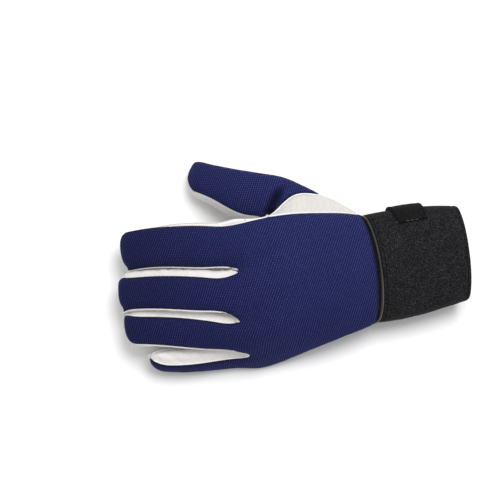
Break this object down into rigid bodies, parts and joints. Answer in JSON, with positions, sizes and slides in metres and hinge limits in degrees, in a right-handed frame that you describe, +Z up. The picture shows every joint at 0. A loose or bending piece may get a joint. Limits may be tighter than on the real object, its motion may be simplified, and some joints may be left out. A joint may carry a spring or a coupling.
{
  "type": "anti-vibration work glove",
  "caption": "Left-hand work glove lying on a surface, knit back, padded leather palm and finger fronts, and a wide wrap strap round the wrist.",
  "frame": {"origin": "middle of the bounding box, on the surface that the glove lies on", "axes": "+X from the fingertips to the cuff, +Y to the thumb side, +Z up, away from the surface"},
  "size_m": [0.2466, 0.1574, 0.0613],
  "materials": {
    "navy_knit": "ribbed knit",
    "white_leather": "matte grain",
    "black_neoprene": "fine woven face",
    "edge_binding": "folded tape",
    "loop_fabric": "brushed loop"
  },
  "bodies": {
    "root": {"knit_back": "navy_knit", "thumb_knit_back": "navy_knit", "leather_palm": "white_leather", "fourchette_index_middle": "white_leather", "fourchette_middle_ring": "white_leather", "fourchette_ring_little": "white_leather", "thumb_leather_front": "white_leather", "thumb_keystone": "white_leather", "cuff_band": "black_neoprene", "wrist_strap": "black_neoprene", "strap_wing": "black_neoprene", "strap_binding": "edge_binding", "hook_tab": "black_neoprene", "loop_patch": "loop_fabric"}
  },
  "joints": []
}
